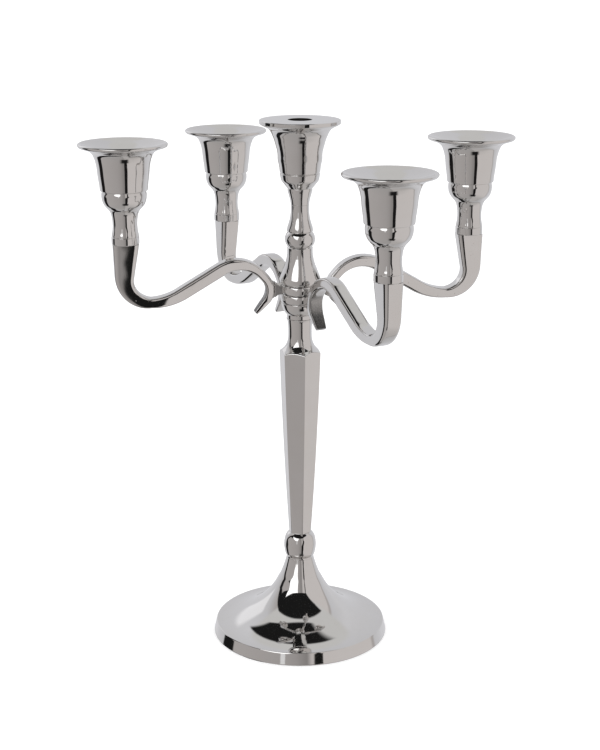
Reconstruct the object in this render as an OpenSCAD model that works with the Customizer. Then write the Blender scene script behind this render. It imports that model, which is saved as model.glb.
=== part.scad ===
// Five-light tabletop candelabra of cast, turned and nickel-plated metal.
// A round base, a six-sided column, two yokes of two scrolled arms each that turn on its collar,
// one above the other, a turned centre stem and five candle cups, all drawn together by one tie rod.
// Millimetres, +Z up, origin on the table at the centre of the base. The upper yoke lies along X.

/* [Base] */
// Radius of the foot edge on the table
base_r = 84.3; // [78:0.1:95]
// Height of the base casting, table to column
base_h = 77; // [72:0.5:90]
// Height of the outer edge band
base_edge_h = 12; // [8:0.5:15]
// Lean of the edge band, foot radius less top radius
base_edge_lean = 2.8; // [1:0.1:5]
// Wall thickness of the hollow casting
base_wall = 3.5; // [2.5:0.1:5]
// Height of the flat roof inside the base, where the nut pulls up
base_roof_z = 50; // [46:0.5:54]
// Radius where the neck of the base meets the column
base_neck_r = 13; // [12:0.1:14.5]

/* [Column] */
// Height of the column casting
column_h = 238.8; // [220:0.5:280]
// Radius of the round bead at the foot of the shaft
foot_bead_r = 15.5; // [14:0.1:18]
// Height of the round bead
foot_bead_h = 22; // [18:0.5:26]
// Corner radius of the six-sided shaft at its foot
shaft_foot_r = 11.2; // [10:0.1:13]
// Corner radius of the six-sided shaft at its shoulder
shaft_top_r = 20.2; // [18.5:0.1:22]
// Swelling of the shaft half way up
shaft_swell = 0.7; // [0:0.1:1.5]
// Angle of a shaft corner from the front of the upper yoke
shaft_turn = 5; // [-30:1:30]
// Length of the round neck above the shoulder
column_neck_l = 32.8; // [28:0.5:40]
// Waist radius of the round neck
column_neck_r = 11.1; // [10:0.1:12.5]

/* [Collar and yokes] */
// Height of the bowl-shaped collar under the yokes
collar_h = 15.5; // [13:0.5:20]
// Radius of the collar at its top
collar_r = 17.4; // [16:0.1:18.4]
// Radius of a yoke's ring
ring_r = 18.4; // [17.5:0.1:20]
// Thickness of a yoke's ring and its two lugs
ring_t = 8.5; // [7:0.1:10]
// Width of a lug
lug_w = 11; // [9:0.5:13]
// Distance from the centre line to the face where an arm meets its lug
lug_reach = 24.3; // [24:0.1:30]
// Radius of the pilot spigot that both yokes turn on
spigot_r = 7; // [6:0.1:8]
// Radial running clearance of a ring on the spigot
pilot_gap = 0.05; // [0.02:0.01:0.1]
// End play of each ring
ring_play = 0.1; // [0.05:0.01:0.2]
// Angle of the lower yoke from square to the upper one
yoke_turn = 18.4; // [0:0.1:25]

/* [Arms] */
// Distance from the centre line to a side candle
arm_reach = 160; // [150:1:180]
// Height of an arm's seat above the middle of its lug
arm_rise = 46.7; // [42:0.1:55]
// Thickness of the seat end, outwards
seat_t = 24; // [21:0.1:25]
// Width of the seat end
seat_w = 18.5; // [14:0.1:20]
// Radius of the hook that clasps the lug
hook_bend_r = 16.5; // [15:0.1:18]
// Length of the straight tail below the hook
tail_l = 14; // [9:0.5:17]
// Radius of the crest of the arm
crest_bend_r = 30; // [27:0.5:34]
// Slope of the arm between the crest and the elbow, degrees
arm_slope = 30.5; // [26:0.5:33]
// Radius of the long bend into the elbow
sweep_bend_r = 56; // [45:1:70]
// Radius of the elbow
elbow_bend_r = 24; // [20:0.5:27]
// Thickness of the arm at the crest
crest_t = 12; // [9:0.1:13]
// Thickness of the arm where the elbow begins
elbow_t = 9; // [8:0.1:11]
// Thickness of the arm at the hook
hook_t = 7.8; // [7:0.1:9]
// Width of the arm at the hook
hook_w = 14; // [13:0.1:16]
// Softened edge of the arm
arm_edge_r = 2; // [1.2:0.1:2.5]

/* [Side cups] */
// Height of a candle cup
cup_h = 60; // [56:0.1:68]
// Radius of the flared rim
rim_r = 40.4; // [36:0.1:44]
// Radius of the cup wall above the groove
cup_body_r = 22; // [20.5:0.1:24]
// Radius of the cup foot, where the spool carries it
cup_foot_r = 14.2; // [13.5:0.1:15]
// Height of a spool between arm and cup
spool_h = 31.5; // [28:0.5:38]
// Waist radius of a spool
spool_waist_r = 11.5; // [10:0.1:12.3]
// Radius of the band at the foot of a spool
spool_band_r = 12.6; // [12.4:0.1:13.5]

/* [Centre stem and cup] */
// Height of the centre stem
stem_h = 74.1; // [68:0.1:80]
// Largest radius of the stem foot
stem_foot_r = 19; // [18:0.1:20]
// Radius of the bead on the stem
stem_bead_r = 14; // [13:0.1:15]
// Waist radius of the stem
stem_waist_r = 8.4; // [7.5:0.1:9.5]
// Height of the short neck under the centre cup
neck_h = 15.5; // [12:0.1:20]
// Radius of the flange at the top of the neck
neck_flange_r = 11.4; // [10.5:0.1:12.5]
// Height of the centre cup
centre_cup_h = 61.9; // [56:0.1:68]
// Radius of the flat disc on the centre cup
disc_r = 37.1; // [34:0.1:40]
// Thickness of the disc edge
disc_t = 3.3; // [2.5:0.1:4.5]
// Radius of the centre cup wall under the disc
centre_body_r = 20.5; // [19:0.1:22]

/* [Candle sockets] */
// Radius of a candle socket
socket_r = 11; // [10.5:0.1:11.5]
// Depth of the straight socket in a side cup
socket_d = 30; // [24:0.5:32]
// Depth of the straight socket in the centre cup
centre_socket_d = 30; // [22:0.5:36]

/* [Fixings] */
// Radius of the tie rod
rod_r = 3; // [2.5:0.1:3.5]
// Radial clearance of the tie rod in the castings
rod_gap = 0.3; // [0.1:0.05:0.5]
// Length of tie rod inside the centre cup
rod_bite = 12; // [8:0.5:18]
// Length of tie rod below the nut
rod_tail = 3; // [1:0.5:6]
// Thickness of the nut under the base
nut_t = 5; // [4:0.1:7]
// Width of the nut across its corners, halved
nut_r = 5.77; // [5:0.01:7]
// Radius of the washer under the base
washer_r = 9; // [8:0.1:12]
// Thickness of the washer
washer_t = 1.6; // [1:0.1:2.5]
// Radius of the studs in the arms and cups
stud_r = 2.5; // [2:0.1:3]
// Radial clearance of a stud in its hole
stud_gap = 0.05; // [0.05:0.01:0.2]
// Gap left at the blind end of a stud's hole
stud_end_gap = 0.3; // [0.2:0.1:1]
// Depth of a lug stud in the arm
lug_stud_bite = 5.5; // [4:0.5:6]
// Depth of a cup stud in the arm
cup_stud_bite = 14; // [10:0.5:16]
// Depth of a cup stud in the cup floor
cup_floor_bite = 9; // [6:0.5:11]

/* [Hidden] */

// Heights of the joints, from the table up
column_z = base_h;
collar_z = column_z + column_h;
spigot_z = collar_z + collar_h;
ring_pitch = ring_t + ring_play;
stem_z = spigot_z + 2 * ring_pitch;
neck_z = stem_z + stem_h;
centre_cup_z = neck_z + neck_h;
// Middle of each yoke's lugs, and the direction of each arm: the upper yoke carries right and left
lower_z = spigot_z + ring_pitch / 2;
upper_z = lower_z + ring_pitch;
RIGHT = 0;
LEFT = 180;
FRONT = yoke_turn - 90;
BACK = yoke_turn + 90;
function lug_z(a) = a == RIGHT || a == LEFT ? upper_z : lower_z;
function seat_z(a) = lug_z(a) + arm_rise;
function cup_z(a) = seat_z(a) + spool_h;
nickel = "#b9b6b2";
steel = "#8f9194";

// ---------- curves ----------

// One step of a smooth curve through p1 and p2, with p0 and p3 as its neighbours
function blend_point(p0, p1, p2, p3, t) =
    0.5 * (2 * p1 + (p2 - p0) * t + (2 * p0 - 5 * p1 + 4 * p2 - p3) * t * t
           + (3 * p1 - p0 - 3 * p2 + p3) * t * t * t);

// A smooth curve through a list of points, in n steps between each two
function curve(p, n = 5) =
    let (last = len(p) - 1)
    concat([for (i = [0:last - 1], k = [0:n - 1])
                blend_point(p[max(i - 1, 0)], p[i], p[i + 1], p[min(i + 2, last)], k / n)],
           [p[last]]);

// An arc about c with radius r, from angle a to angle b, in n steps
function arc(c, r, a, b, n = 10) =
    [for (k = [0:n]) let (t = a + (b - a) * k / n) c + r * [cos(t), sin(t)]];

// A solid turned about Z, with a round hole through it
module turned(outline, hole_r = 0) {
    difference() {
        rotate_extrude($fn = 96) polygon(outline);
        if (hole_r > 0)
            translate([0, 0, outline[0][1] - 1])
                cylinder(r = hole_r, h = outline[len(outline) - 1][1] - outline[0][1] + 2, $fn = 48);
    }
}

// Closes an outside profile, listed from the bottom up, along the turning axis
function to_axis(profile) =
    concat([[0, profile[0][1]]], profile, [[0, profile[len(profile) - 1][1]]]);

// ---------- base ----------

// The trumpet of the base is one arc from the neck to the edge band
trumpet_top_r = base_neck_r + 11.5;
trumpet_foot = [base_r - base_edge_lean, base_edge_h];
trumpet_steep = 59;
trumpet_flat = 7;
trumpet_r = (trumpet_foot[0] - trumpet_top_r) / (sin(trumpet_steep) - sin(trumpet_flat));
trumpet_drop = trumpet_r * (cos(trumpet_flat) - cos(trumpet_steep));
trumpet_z = trumpet_foot[1] + trumpet_drop;
trumpet_c = [trumpet_foot[0] + trumpet_r * sin(trumpet_flat),
             trumpet_foot[1] + trumpet_r * cos(trumpet_flat)];

module base() color(nickel) {
    neck = curve([[trumpet_top_r, trumpet_z], [base_neck_r + 8.2, trumpet_z + 6.2],
                  [base_neck_r + 5.5, trumpet_z + 11.2], [base_neck_r + 3, base_h - 10],
                  [base_neck_r + 1.3, base_h - 4.6], [base_neck_r, base_h]]);
    outer = concat([[base_r - 0.6, 0], [base_r, 1]],
                   [[trumpet_foot[0] + 0.4, base_edge_h - 0.6]],
                   arc(trumpet_c, trumpet_r, 270 - trumpet_flat, 270 - trumpet_steep, 20),
                   neck);
    inner_r = trumpet_r + base_wall;
    roof_angle = acos((trumpet_c[1] - base_roof_z) / inner_r);
    inner = concat([[0, -1], [base_r - base_wall, -1], [trumpet_foot[0] - base_wall, base_edge_h - base_wall]],
                   arc(trumpet_c, inner_r, 270 - trumpet_flat - 2, 270 - roof_angle, 20),
                   [[0, base_roof_z]]);
    difference() {
        turned(to_axis(outer));
        rotate_extrude($fn = 96) polygon(inner);
        translate([0, 0, base_roof_z - 1]) cylinder(r = rod_r + rod_gap, h = base_h, $fn = 48);
    }
}

module base_washer() color(steel)
    translate([0, 0, base_roof_z - washer_t]) difference() {
        cylinder(r = washer_r, h = washer_t, $fn = 64);
        translate([0, 0, -1]) cylinder(r = rod_r + rod_gap, h = washer_t + 2, $fn = 48);
    }

module base_nut() color(steel)
    translate([0, 0, base_roof_z - washer_t - nut_t]) difference() {
        cylinder(r = nut_r, h = nut_t, $fn = 6);
        translate([0, 0, -1]) cylinder(r = rod_r + stud_gap, h = nut_t + 2, $fn = 48);
    }

rod_bottom = base_roof_z - washer_t - nut_t - rod_tail;
rod_top = centre_cup_z + rod_bite;

module tie_rod() color(steel)
    translate([0, 0, rod_bottom]) cylinder(r = rod_r, h = rod_top - rod_bottom, $fn = 48);

// ---------- column ----------

shaft_z = foot_bead_h + 4;
shoulder_z = column_h - column_neck_l;

module column() color(nickel) {
    bead = curve([[foot_bead_r - 2.3, 0], [foot_bead_r - 2.3, 1.6], [foot_bead_r - 1, 5],
                  [foot_bead_r, 1.6 + foot_bead_h / 2], [foot_bead_r - 1, foot_bead_h - 2],
                  [foot_bead_r - 2.6, foot_bead_h + 1.6], [shaft_foot_r - 0.5, shaft_z]], 6);
    neck = curve([[column_neck_r + 1.6, column_h], [column_neck_r + 0.6, column_h - 3],
                  [column_neck_r, column_h - 9], [column_neck_r, column_h - 17],
                  [column_neck_r + 0.7, column_h - 22], [column_neck_r + 2.6, shoulder_z + 6.4],
                  [column_neck_r + 5.8, shoulder_z + 2.6], [column_neck_r + 10.5, shoulder_z - 0.6]], 6);
    cap = [for (i = [len(neck) - 1:-1:0]) neck[i]];
    flat_r = column_neck_r + 14;
    translate([0, 0, column_z]) difference() {
        union() {
            turned(to_axis(bead));
            intersection() {
                rotate([0, 0, shaft_turn - 90]) rotate_extrude($fn = 6) polygon(shaft_outline());
                turned(to_axis(concat([[flat_r, shaft_z - 4], [flat_r, shoulder_z - 2]], cap)));
            }
            turned(to_axis(concat([[column_neck_r + 1.5, shoulder_z - 4]],
                                  [for (p = cap) if (p[1] > shoulder_z + 3) p])));
        }
        translate([0, 0, -1]) cylinder(r = rod_r + rod_gap, h = column_h + 2, $fn = 48);
    }
}

// Corner line of the six-sided shaft: a straight taper with a slight swelling
function shaft_outline(n = 8) =
    to_axis([for (k = [0:n]) let (t = k / n)
        [shaft_foot_r + (shaft_top_r - shaft_foot_r) * t + 4 * shaft_swell * t * (1 - t),
         shaft_z - 4 + (shoulder_z + 8 - shaft_z) * t]]);

// ---------- collar and yokes ----------

module collar() color(nickel) {
    band = 3.8;
    bowl = curve([[collar_r - 4.7, band + 0.5], [collar_r - 2.9, band + 2.6], [collar_r - 1.3, band + 5.6],
                  [collar_r - 0.2, collar_h - 2.4], [collar_r, collar_h - 0.8], [collar_r - 0.2, collar_h]]);
    translate([0, 0, collar_z]) difference() {
        union() {
            turned(to_axis(concat([[collar_r - 5.3, 0], [collar_r - 5, 0.6], [collar_r - 5, band - 0.2]], bowl)));
            translate([0, 0, collar_h - 1]) cylinder(r = spigot_r, h = 2 * ring_pitch + 1, $fn = 64);
        }
        translate([0, 0, -1]) cylinder(r = rod_r + rod_gap, h = collar_h + 2 * ring_pitch + 2, $fn = 48);
    }
}

// Half height of the pad on which an arm meets its lug
pad_h = ring_t / 2 + 4.4;
lug_stud_start = spigot_r + 3.5;

// A yoke: a ring with two opposite lugs that flare to the seats of the arms
module yoke(a) color(nickel) {
    flare = 5.5;
    lip = 0.8;
    side = concat([[0, -ring_t / 2], [lug_reach - flare, -ring_t / 2]],
                  arc([lug_reach - flare, -ring_t / 2 - flare], flare, 90, 35, 6),
                  [[lug_reach, 1.5 - pad_h], [lug_reach, pad_h - 1.5]],
                  arc([lug_reach - flare, ring_t / 2 + flare], flare, -35, -90, 6),
                  [[0, ring_t / 2]]);
    rotate([0, 0, a]) translate([0, 0, lug_z(a)]) difference() {
        union() {
            translate([0, 0, -ring_t / 2]) turned(to_axis(concat(
                [[ring_r - 1.5 * lip, 0]], arc([ring_r - lip, lip], lip, -60, 0, 4),
                arc([ring_r - lip, ring_t - lip], lip, 0, 60, 4), [[ring_r - 1.5 * lip, ring_t]])));
            for (t = [0, 180]) rotate([90, 0, t])
                translate([0, 0, -lug_w / 2]) linear_extrude(lug_w) polygon(side);
        }
        translate([0, 0, -ring_t]) cylinder(r = spigot_r + pilot_gap, h = 2 * ring_t, $fn = 64);
        for (t = [0, 180]) rotate([0, 90, t])
            translate([0, 0, lug_stud_start - stud_end_gap])
                cylinder(r = stud_r + stud_gap, h = lug_reach, $fn = 32);
    }
}

module upper_yoke() yoke(RIGHT);
module lower_yoke() yoke(FRONT);

// The two studs of a yoke, from each lug into its arm
module lug_studs(a) color(steel)
    for (t = [a, a + 180]) translate([0, 0, lug_z(a)]) rotate([0, 90, t])
        translate([0, 0, lug_stud_start])
            cylinder(r = stud_r, h = lug_reach + lug_stud_bite - lug_stud_start, $fn = 32);

module upper_lug_studs() lug_studs(RIGHT);
module lower_lug_studs() lug_studs(FRONT);

// ---------- arms ----------

// One bend or straight of the arm's centre line: start point, heading, length, turn
function stretch(p, heading, length, turn, n) =
    [for (k = [1:n]) let (t = k / n)
        turn == 0 ? p + length * t * [cos(heading), sin(heading)]
                  : p + length / (turn * PI / 180) * [sin(heading + turn * t) - sin(heading),
                                                      cos(heading) - cos(heading + turn * t)]];
function bend(radius, turn) = radius * abs(turn) * PI / 180;
function last_of(list) = list[len(list) - 1];

// Headings of the centre line, degrees from the horizontal, outwards
hook_out = 48;
tail_out = 41;
elbow_lean = 4;
hook_link_l = 5;
hook_p = [lug_reach + hook_t / 2 + 0.3, 0];
seat_p = [arm_reach, arm_rise];

// From the hook up over the crest and down to the elbow; its two straights close the gap to the seat
hook_up = stretch(hook_p, 90, bend(hook_bend_r, 90 - hook_out), hook_out - 90, 4);
hook_link = stretch(last_of(hook_up), hook_out, hook_link_l, 0, 1);
crest = stretch(last_of(hook_link), hook_out, bend(crest_bend_r, hook_out + arm_slope), -hook_out - arm_slope, 9);
sweep_d = last_of(stretch([0, 0], -arm_slope, bend(sweep_bend_r, arm_slope), arm_slope, 1));
elbow_d = last_of(stretch([0, 0], 0, bend(elbow_bend_r, 90 + elbow_lean), 90 + elbow_lean, 1));
gap_d = seat_p - last_of(crest) - sweep_d - elbow_d;
upright_l = (gap_d[1] + gap_d[0] * tan(arm_slope)) / (cos(elbow_lean) - sin(elbow_lean) * tan(arm_slope));
slope_l = (gap_d[0] + upright_l * sin(elbow_lean)) / cos(arm_slope);
slope_line = stretch(last_of(crest), -arm_slope, slope_l, 0, 3);
sweep_line = stretch(last_of(slope_line), -arm_slope, bend(sweep_bend_r, arm_slope), arm_slope, 4);
elbow = stretch(last_of(sweep_line), 0, bend(elbow_bend_r, 90 + elbow_lean), 90 + elbow_lean, 9);
upright = stretch(last_of(elbow), 90 + elbow_lean, upright_l, 0, 3);
hook_down = stretch(hook_p, -90, bend(hook_bend_r, tail_out), tail_out, 4);
tail = stretch(last_of(hook_down), tail_out - 90, tail_l, 0, 3);
low = concat(hook_down, tail);

// Centre line points as [radius, height, thickness, width]
function sized(points, from, to) =
    [for (k = [0:len(points) - 1]) let (t = (k + 1) / len(points), s = from + (to - from) * t)
        [points[k][0], points[k][1], s[0], s[1]]];
hook_size = [hook_t, hook_w];
crest_size = [crest_t, hook_w - 0.5];
sweep_size = [elbow_t, hook_w];
elbow_size = [(elbow_t + seat_t) / 2 + 1.5, (hook_w + seat_w) / 2];
arm_line = concat(
    [for (k = [len(low) - 1:-1:0]) let (t = (k + 1) / len(low))
        [low[k][0], low[k][1], hook_t * (1 - 0.55 * t * t), hook_w * (1 - 0.3 * t * t)]],
    [[hook_p[0], hook_p[1], hook_size[0], hook_size[1]]],
    sized(concat(hook_up, hook_link), hook_size, hook_size + [0.4, 0]),
    sized(crest, hook_size + [0.4, 0], crest_size),
    sized(slope_line, crest_size, crest_size),
    sized(sweep_line, crest_size, sweep_size),
    sized(elbow, sweep_size, elbow_size),
    sized(upright, elbow_size, [seat_t, seat_w]));

// A rounded rectangle t thick and w wide, as [thickness, width] offsets
corner_steps = 3;
function section(t, w) =
    let (e = min(arm_edge_r, t / 3))
    [for (c = [[1, 1, 0], [-1, 1, 90], [-1, -1, 180], [1, -1, 270]], k = [0:corner_steps - 1])
        let (a = c[2] + 90 * k / (corner_steps - 1))
        [c[0] * (t / 2 - e) + e * cos(a), c[1] * (w / 2 - e) + e * sin(a)]];

module arm_sweep() {
    n = len(arm_line);
    m = 4 * corner_steps;
    rings = [for (i = [0:n - 1])
        let (p = arm_line[i], a = arm_line[max(i - 1, 0)], b = arm_line[min(i + 1, n - 1)],
             d = i == n - 1 ? [0, 1] : [b[0] - a[0], b[1] - a[1]] / norm([b[0] - a[0], b[1] - a[1]]))
        [for (s = section(p[2], p[3])) [p[0] + d[1] * s[0], s[1], p[1] - d[0] * s[0]]]];
    polyhedron(
        points = [for (r = rings, p = r) p],
        faces = concat(
            [for (i = [0:n - 2], j = [0:m - 1]) let (k = (j + 1) % m)
                [i * m + j, (i + 1) * m + j, (i + 1) * m + k, i * m + k]],
            [[for (j = [0:m - 1]) j]],
            [[for (j = [m - 1:-1:0]) (n - 1) * m + j]]),
        convexity = 6);
}

// One arm, pointing along +X, with the pad that seats on its lug
module arm(a) color(nickel)
    rotate([0, 0, a]) translate([0, 0, lug_z(a)]) difference() {
        union() {
            arm_sweep();
            rotate([90, 0, 0]) translate([0, 0, -lug_w / 2]) linear_extrude(lug_w)
                polygon([[lug_reach, 1.5 - pad_h], [hook_p[0], -pad_h], [hook_p[0], pad_h], [lug_reach, pad_h - 1.5]]);
        }
        rotate([0, 90, 0]) translate([0, 0, lug_reach - 1])
            cylinder(r = stud_r + stud_gap, h = lug_stud_bite + stud_end_gap + 1, $fn = 32);
        translate([arm_reach, 0, arm_rise - cup_stud_bite - stud_end_gap])
            cylinder(r = stud_r + stud_gap, h = cup_stud_bite + 5, $fn = 32);
    }

module arm_front() arm(FRONT);
module arm_right() arm(RIGHT);
module arm_back() arm(BACK);
module arm_left() arm(LEFT);

// ---------- side cups ----------

module at_arm(a, z) rotate([0, 0, a]) translate([arm_reach, 0, z]) children();

module spool(a) color(nickel) at_arm(a, seat_z(a)) {
    band_h = 6.6;
    turned(to_axis(concat(
        [[spool_band_r - 0.4, 0], [spool_band_r, 0.6], [spool_band_r, band_h], [spool_band_r - 0.4, band_h + 0.3]],
        curve([[spool_band_r - 0.5, band_h + 0.6], [spool_waist_r + 0.2, band_h + 5.5],
               [spool_waist_r, spool_h / 2 + 2], [spool_waist_r + 0.5, spool_h - 7.5],
               [cup_foot_r - 1.2, spool_h - 3], [cup_foot_r, spool_h]]))), stud_r + stud_gap);
}

module spool_front() spool(FRONT);
module spool_right() spool(RIGHT);
module spool_back() spool(BACK);
module spool_left() spool(LEFT);

// Outside of a side cup from its foot to the rim
function cup_outside() =
    let (groove = 17, b = cup_body_r, rim = cup_h - 1.6)
    concat(curve([[cup_foot_r, 0], [b - 5.6, 2.4], [b - 3.6, 5], [b - 2.2, 8.5], [b - 1.7, 12.5],
                  [b - 1.6, groove - 0.8]]),
           [[b - 2, groove - 0.2], [b - 2, groove + 0.2], [b - 0.7, groove + 0.6]],
           curve([[b - 0.5, groove + 1.2], [b, groove + 6], [b + 1.2, cup_h - 28], [b + 1.9, cup_h - 21],
                  [b + 2.8, cup_h - 16.5], [b + 4, cup_h - 12.5], [b + 5.6, cup_h - 9],
                  [b + 8.6, cup_h - 6], [rim_r - 6, cup_h - 3.6], [rim_r - 0.3, rim - 0.1]]),
           [[rim_r, rim + 0.5], [rim_r - 0.3, cup_h - 0.4], [rim_r - 1, cup_h]]);

// Funnel of a side cup, from the socket up to the rim
funnel_z = cup_h - 15.5;
module cup(a) color(nickel) at_arm(a, cup_z(a)) difference() {
    funnel = curve([[socket_r, funnel_z], [socket_r + 0.7, cup_h - 13], [socket_r + 2.7, cup_h - 10.8],
                    [socket_r + 6.2, cup_h - 8.9], [socket_r + 11.2, cup_h - 6.7], [rim_r - 12.4, cup_h - 4.2],
                    [rim_r - 6.4, cup_h - 1.8], [rim_r - 2.2, cup_h]]);
    turned(to_axis(cup_outside()));
    rotate_extrude($fn = 96)
        polygon(concat([[0, funnel_z]], funnel, [[rim_r - 2.2, cup_h + 1], [0, cup_h + 1]]));
    translate([0, 0, funnel_z - socket_d]) cylinder(r = socket_r, h = socket_d + 0.01, $fn = 64);
    translate([0, 0, -1]) cylinder(r = stud_r + stud_gap, h = cup_floor_bite + stud_end_gap + 1, $fn = 32);
}

module cup_front() cup(FRONT);
module cup_right() cup(RIGHT);
module cup_back() cup(BACK);
module cup_left() cup(LEFT);

// The two studs of a yoke's arms, each through a spool into its cup
module cup_studs(a) color(steel)
    for (t = [a, a + 180]) at_arm(t, seat_z(a) - cup_stud_bite)
        cylinder(r = stud_r, h = cup_stud_bite + spool_h + cup_floor_bite, $fn = 32);

module upper_cup_studs() cup_studs(RIGHT);
module lower_cup_studs() cup_studs(FRONT);

// ---------- centre stem and cup ----------

module centre_stem() color(nickel) {
    bead_z = 42.3;
    foot = curve([[stem_foot_r - 2.2, 0], [stem_foot_r - 0.6, 1.8], [stem_foot_r, 5.2],
                  [stem_foot_r - 0.8, 8], [stem_foot_r - 3.4, 14.5], [stem_foot_r - 5.4, 20],
                  [stem_foot_r - 6.8, 26], [stem_foot_r - 7.2, 31], [stem_foot_r - 7.1, 34.4]]);
    bead = arc([stem_bead_r - 10, bead_z], 10, -44, 44, 12);
    waist = curve([[stem_waist_r + 3.7, bead_z + 7.6], [stem_waist_r + 3.4, bead_z + 10.4],
                   [stem_waist_r + 1.9, bead_z + 15.4], [stem_waist_r + 0.7, bead_z + 20],
                   [stem_waist_r, bead_z + 26], [stem_waist_r, stem_h]]);
    translate([0, 0, stem_z]) turned(to_axis(concat(foot, bead, waist)), rod_r + rod_gap);
}

module centre_neck() color(nickel)
    translate([0, 0, neck_z]) turned(to_axis(concat(
        curve([[stem_waist_r, 0], [stem_waist_r + 0.5, neck_h / 4], [stem_waist_r + 1.5, neck_h / 2],
               [neck_flange_r - 0.5, neck_h - 4], [neck_flange_r, neck_h - 2.4]]),
        [[neck_flange_r, neck_h - 0.3], [neck_flange_r - 0.3, neck_h]])), rod_r + rod_gap);

module centre_cup() color(nickel) {
    groove = 13.9;
    b = centre_body_r;
    under = centre_cup_h - disc_t;
    outside = concat(
        curve([[neck_flange_r + 0.3, 0], [b - 6, 3.5], [b - 3.4, 7], [b - 2.5, 10.8], [b - 2.2, groove - 0.7]]),
        [[b - 2.9, groove - 0.2], [b - 2.9, groove + 0.2], [b - 2.1, groove + 0.6]],
        curve([[b - 2, groove + 1], [b - 1.6, 18.5], [b - 1, 22], [b - 0.2, 26], [b, 31.5], [b + 0.9, 36],
               [b + 2, 40], [b + 3.1, 43.8], [b + 4.5, 47.3], [b + 6.2, 51], [b + 9.2, 54.4],
               [disc_r - 2, under - 1.4]]),
        [[disc_r - 0.3, under - 0.3], [disc_r, under], [disc_r, centre_cup_h - 0.4], [disc_r - 0.6, centre_cup_h]]);
    translate([0, 0, centre_cup_z]) difference() {
        turned(to_axis(outside));
        translate([0, 0, centre_cup_h - centre_socket_d]) cylinder(r = socket_r, h = centre_socket_d + 1, $fn = 64);
        translate([0, 0, -1]) cylinder(r = rod_r + rod_gap, h = rod_bite + stud_end_gap + 1, $fn = 48);
    }
}

base();
base_washer();
base_nut();
tie_rod();
column();
collar();
centre_stem();
centre_neck();
centre_cup();
upper_yoke();
lower_yoke();
upper_lug_studs();
lower_lug_studs();
upper_cup_studs();
lower_cup_studs();
arm_front();
arm_right();
arm_back();
arm_left();
spool_front();
spool_right();
spool_back();
spool_left();
cup_front();
cup_right();
cup_back();
cup_left();
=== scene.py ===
import math

import bpy
import numpy as np
from mathutils import Matrix, Vector


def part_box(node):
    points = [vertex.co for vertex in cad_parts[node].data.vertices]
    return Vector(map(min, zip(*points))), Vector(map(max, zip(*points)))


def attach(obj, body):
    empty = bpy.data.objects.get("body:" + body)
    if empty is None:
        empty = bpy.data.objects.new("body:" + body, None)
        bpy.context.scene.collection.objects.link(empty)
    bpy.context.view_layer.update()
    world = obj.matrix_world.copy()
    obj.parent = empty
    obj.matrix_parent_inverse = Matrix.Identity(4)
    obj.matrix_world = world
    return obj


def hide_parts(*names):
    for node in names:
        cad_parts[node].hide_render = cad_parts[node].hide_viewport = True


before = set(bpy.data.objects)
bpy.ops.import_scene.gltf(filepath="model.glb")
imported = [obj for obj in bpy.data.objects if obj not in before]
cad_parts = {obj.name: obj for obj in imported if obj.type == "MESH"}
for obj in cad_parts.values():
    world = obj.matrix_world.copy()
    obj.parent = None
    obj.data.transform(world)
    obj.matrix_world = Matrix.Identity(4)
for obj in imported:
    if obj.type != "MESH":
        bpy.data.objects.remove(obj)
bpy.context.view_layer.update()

# Base. A hollow aluminium casting, turned on the outside, nickel plated and
# mirror polished; under it the sand-cast skin is left dull. It stands on the
# turned foot of its edge band, and the tie rod pulls up on the roof inside.
MM = 0.001
NICKEL = (0.73, 0.722, 0.712)
NICKEL_WARM = (0.71, 0.697, 0.68)
CAST_SKIN, CAST_SKIN_LIGHT = (0.46, 0.45, 0.435), (0.56, 0.55, 0.53)


def flowing(points, steps=6):
    """A smooth line through given points, as a turner's template has it."""
    p = [np.array(q, float) for q in points]
    last = len(p) - 1
    line = []
    for i in range(last):
        a, b, c, d = p[max(i - 1, 0)], p[i], p[i + 1], p[min(i + 2, last)]
        for k in range(steps):
            t = k / steps
            line.append(0.5 * (2 * b + (c - a) * t + (2 * a - 5 * b + 4 * c - d) * t * t
                               + (3 * b - a - 3 * c + d) * t ** 3))
    return [tuple(q) for q in line] + [tuple(p[last])]


def arc(cx, cz, r, start, end, steps=16):
    """Points on a circle about (cx, cz), from start to end in degrees."""
    turns = [math.radians(start + (end - start) * k / steps) for k in range(steps + 1)]
    return [(cx + r * math.cos(t), cz + r * math.sin(t)) for t in turns]


def on_circle(foot, r, z, turns):
    """Points in metres at r and z mm from foot, one for each turn in radians."""
    return [(foot[0] + r * MM * math.cos(t), foot[1] + r * MM * math.sin(t), foot[2] + z * MM) for t in turns]


CREASE = math.radians(32)


def mesh_piece(name, points, faces, finishes, face_finish=None, softness=0.0, rounding=2):
    """A closed mesh in metres with its finishes, smooth but for real edges."""
    mesh = bpy.data.meshes.new(name)
    mesh.from_pydata([tuple(q) for q in points], [], faces)
    for finish in finishes:
        mesh.materials.append(finish)
    if face_finish is not None:
        mesh.polygons.foreach_set("material_index", np.array(face_finish, np.int32))
    mesh.shade_smooth()
    mesh.set_sharp_from_angle(angle=CREASE)
    mesh.update()
    piece = bpy.data.objects.new(name, mesh)
    bpy.context.scene.collection.objects.link(piece)
    if softness:
        edge = piece.modifiers.new("soft_edges", "BEVEL")
        edge.width = softness
        edge.segments = rounding
        edge.limit_method = "ANGLE"
        edge.angle_limit = CREASE
        edge.harden_normals = True
        edge.use_clamp_overlap = True
    return piece


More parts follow.
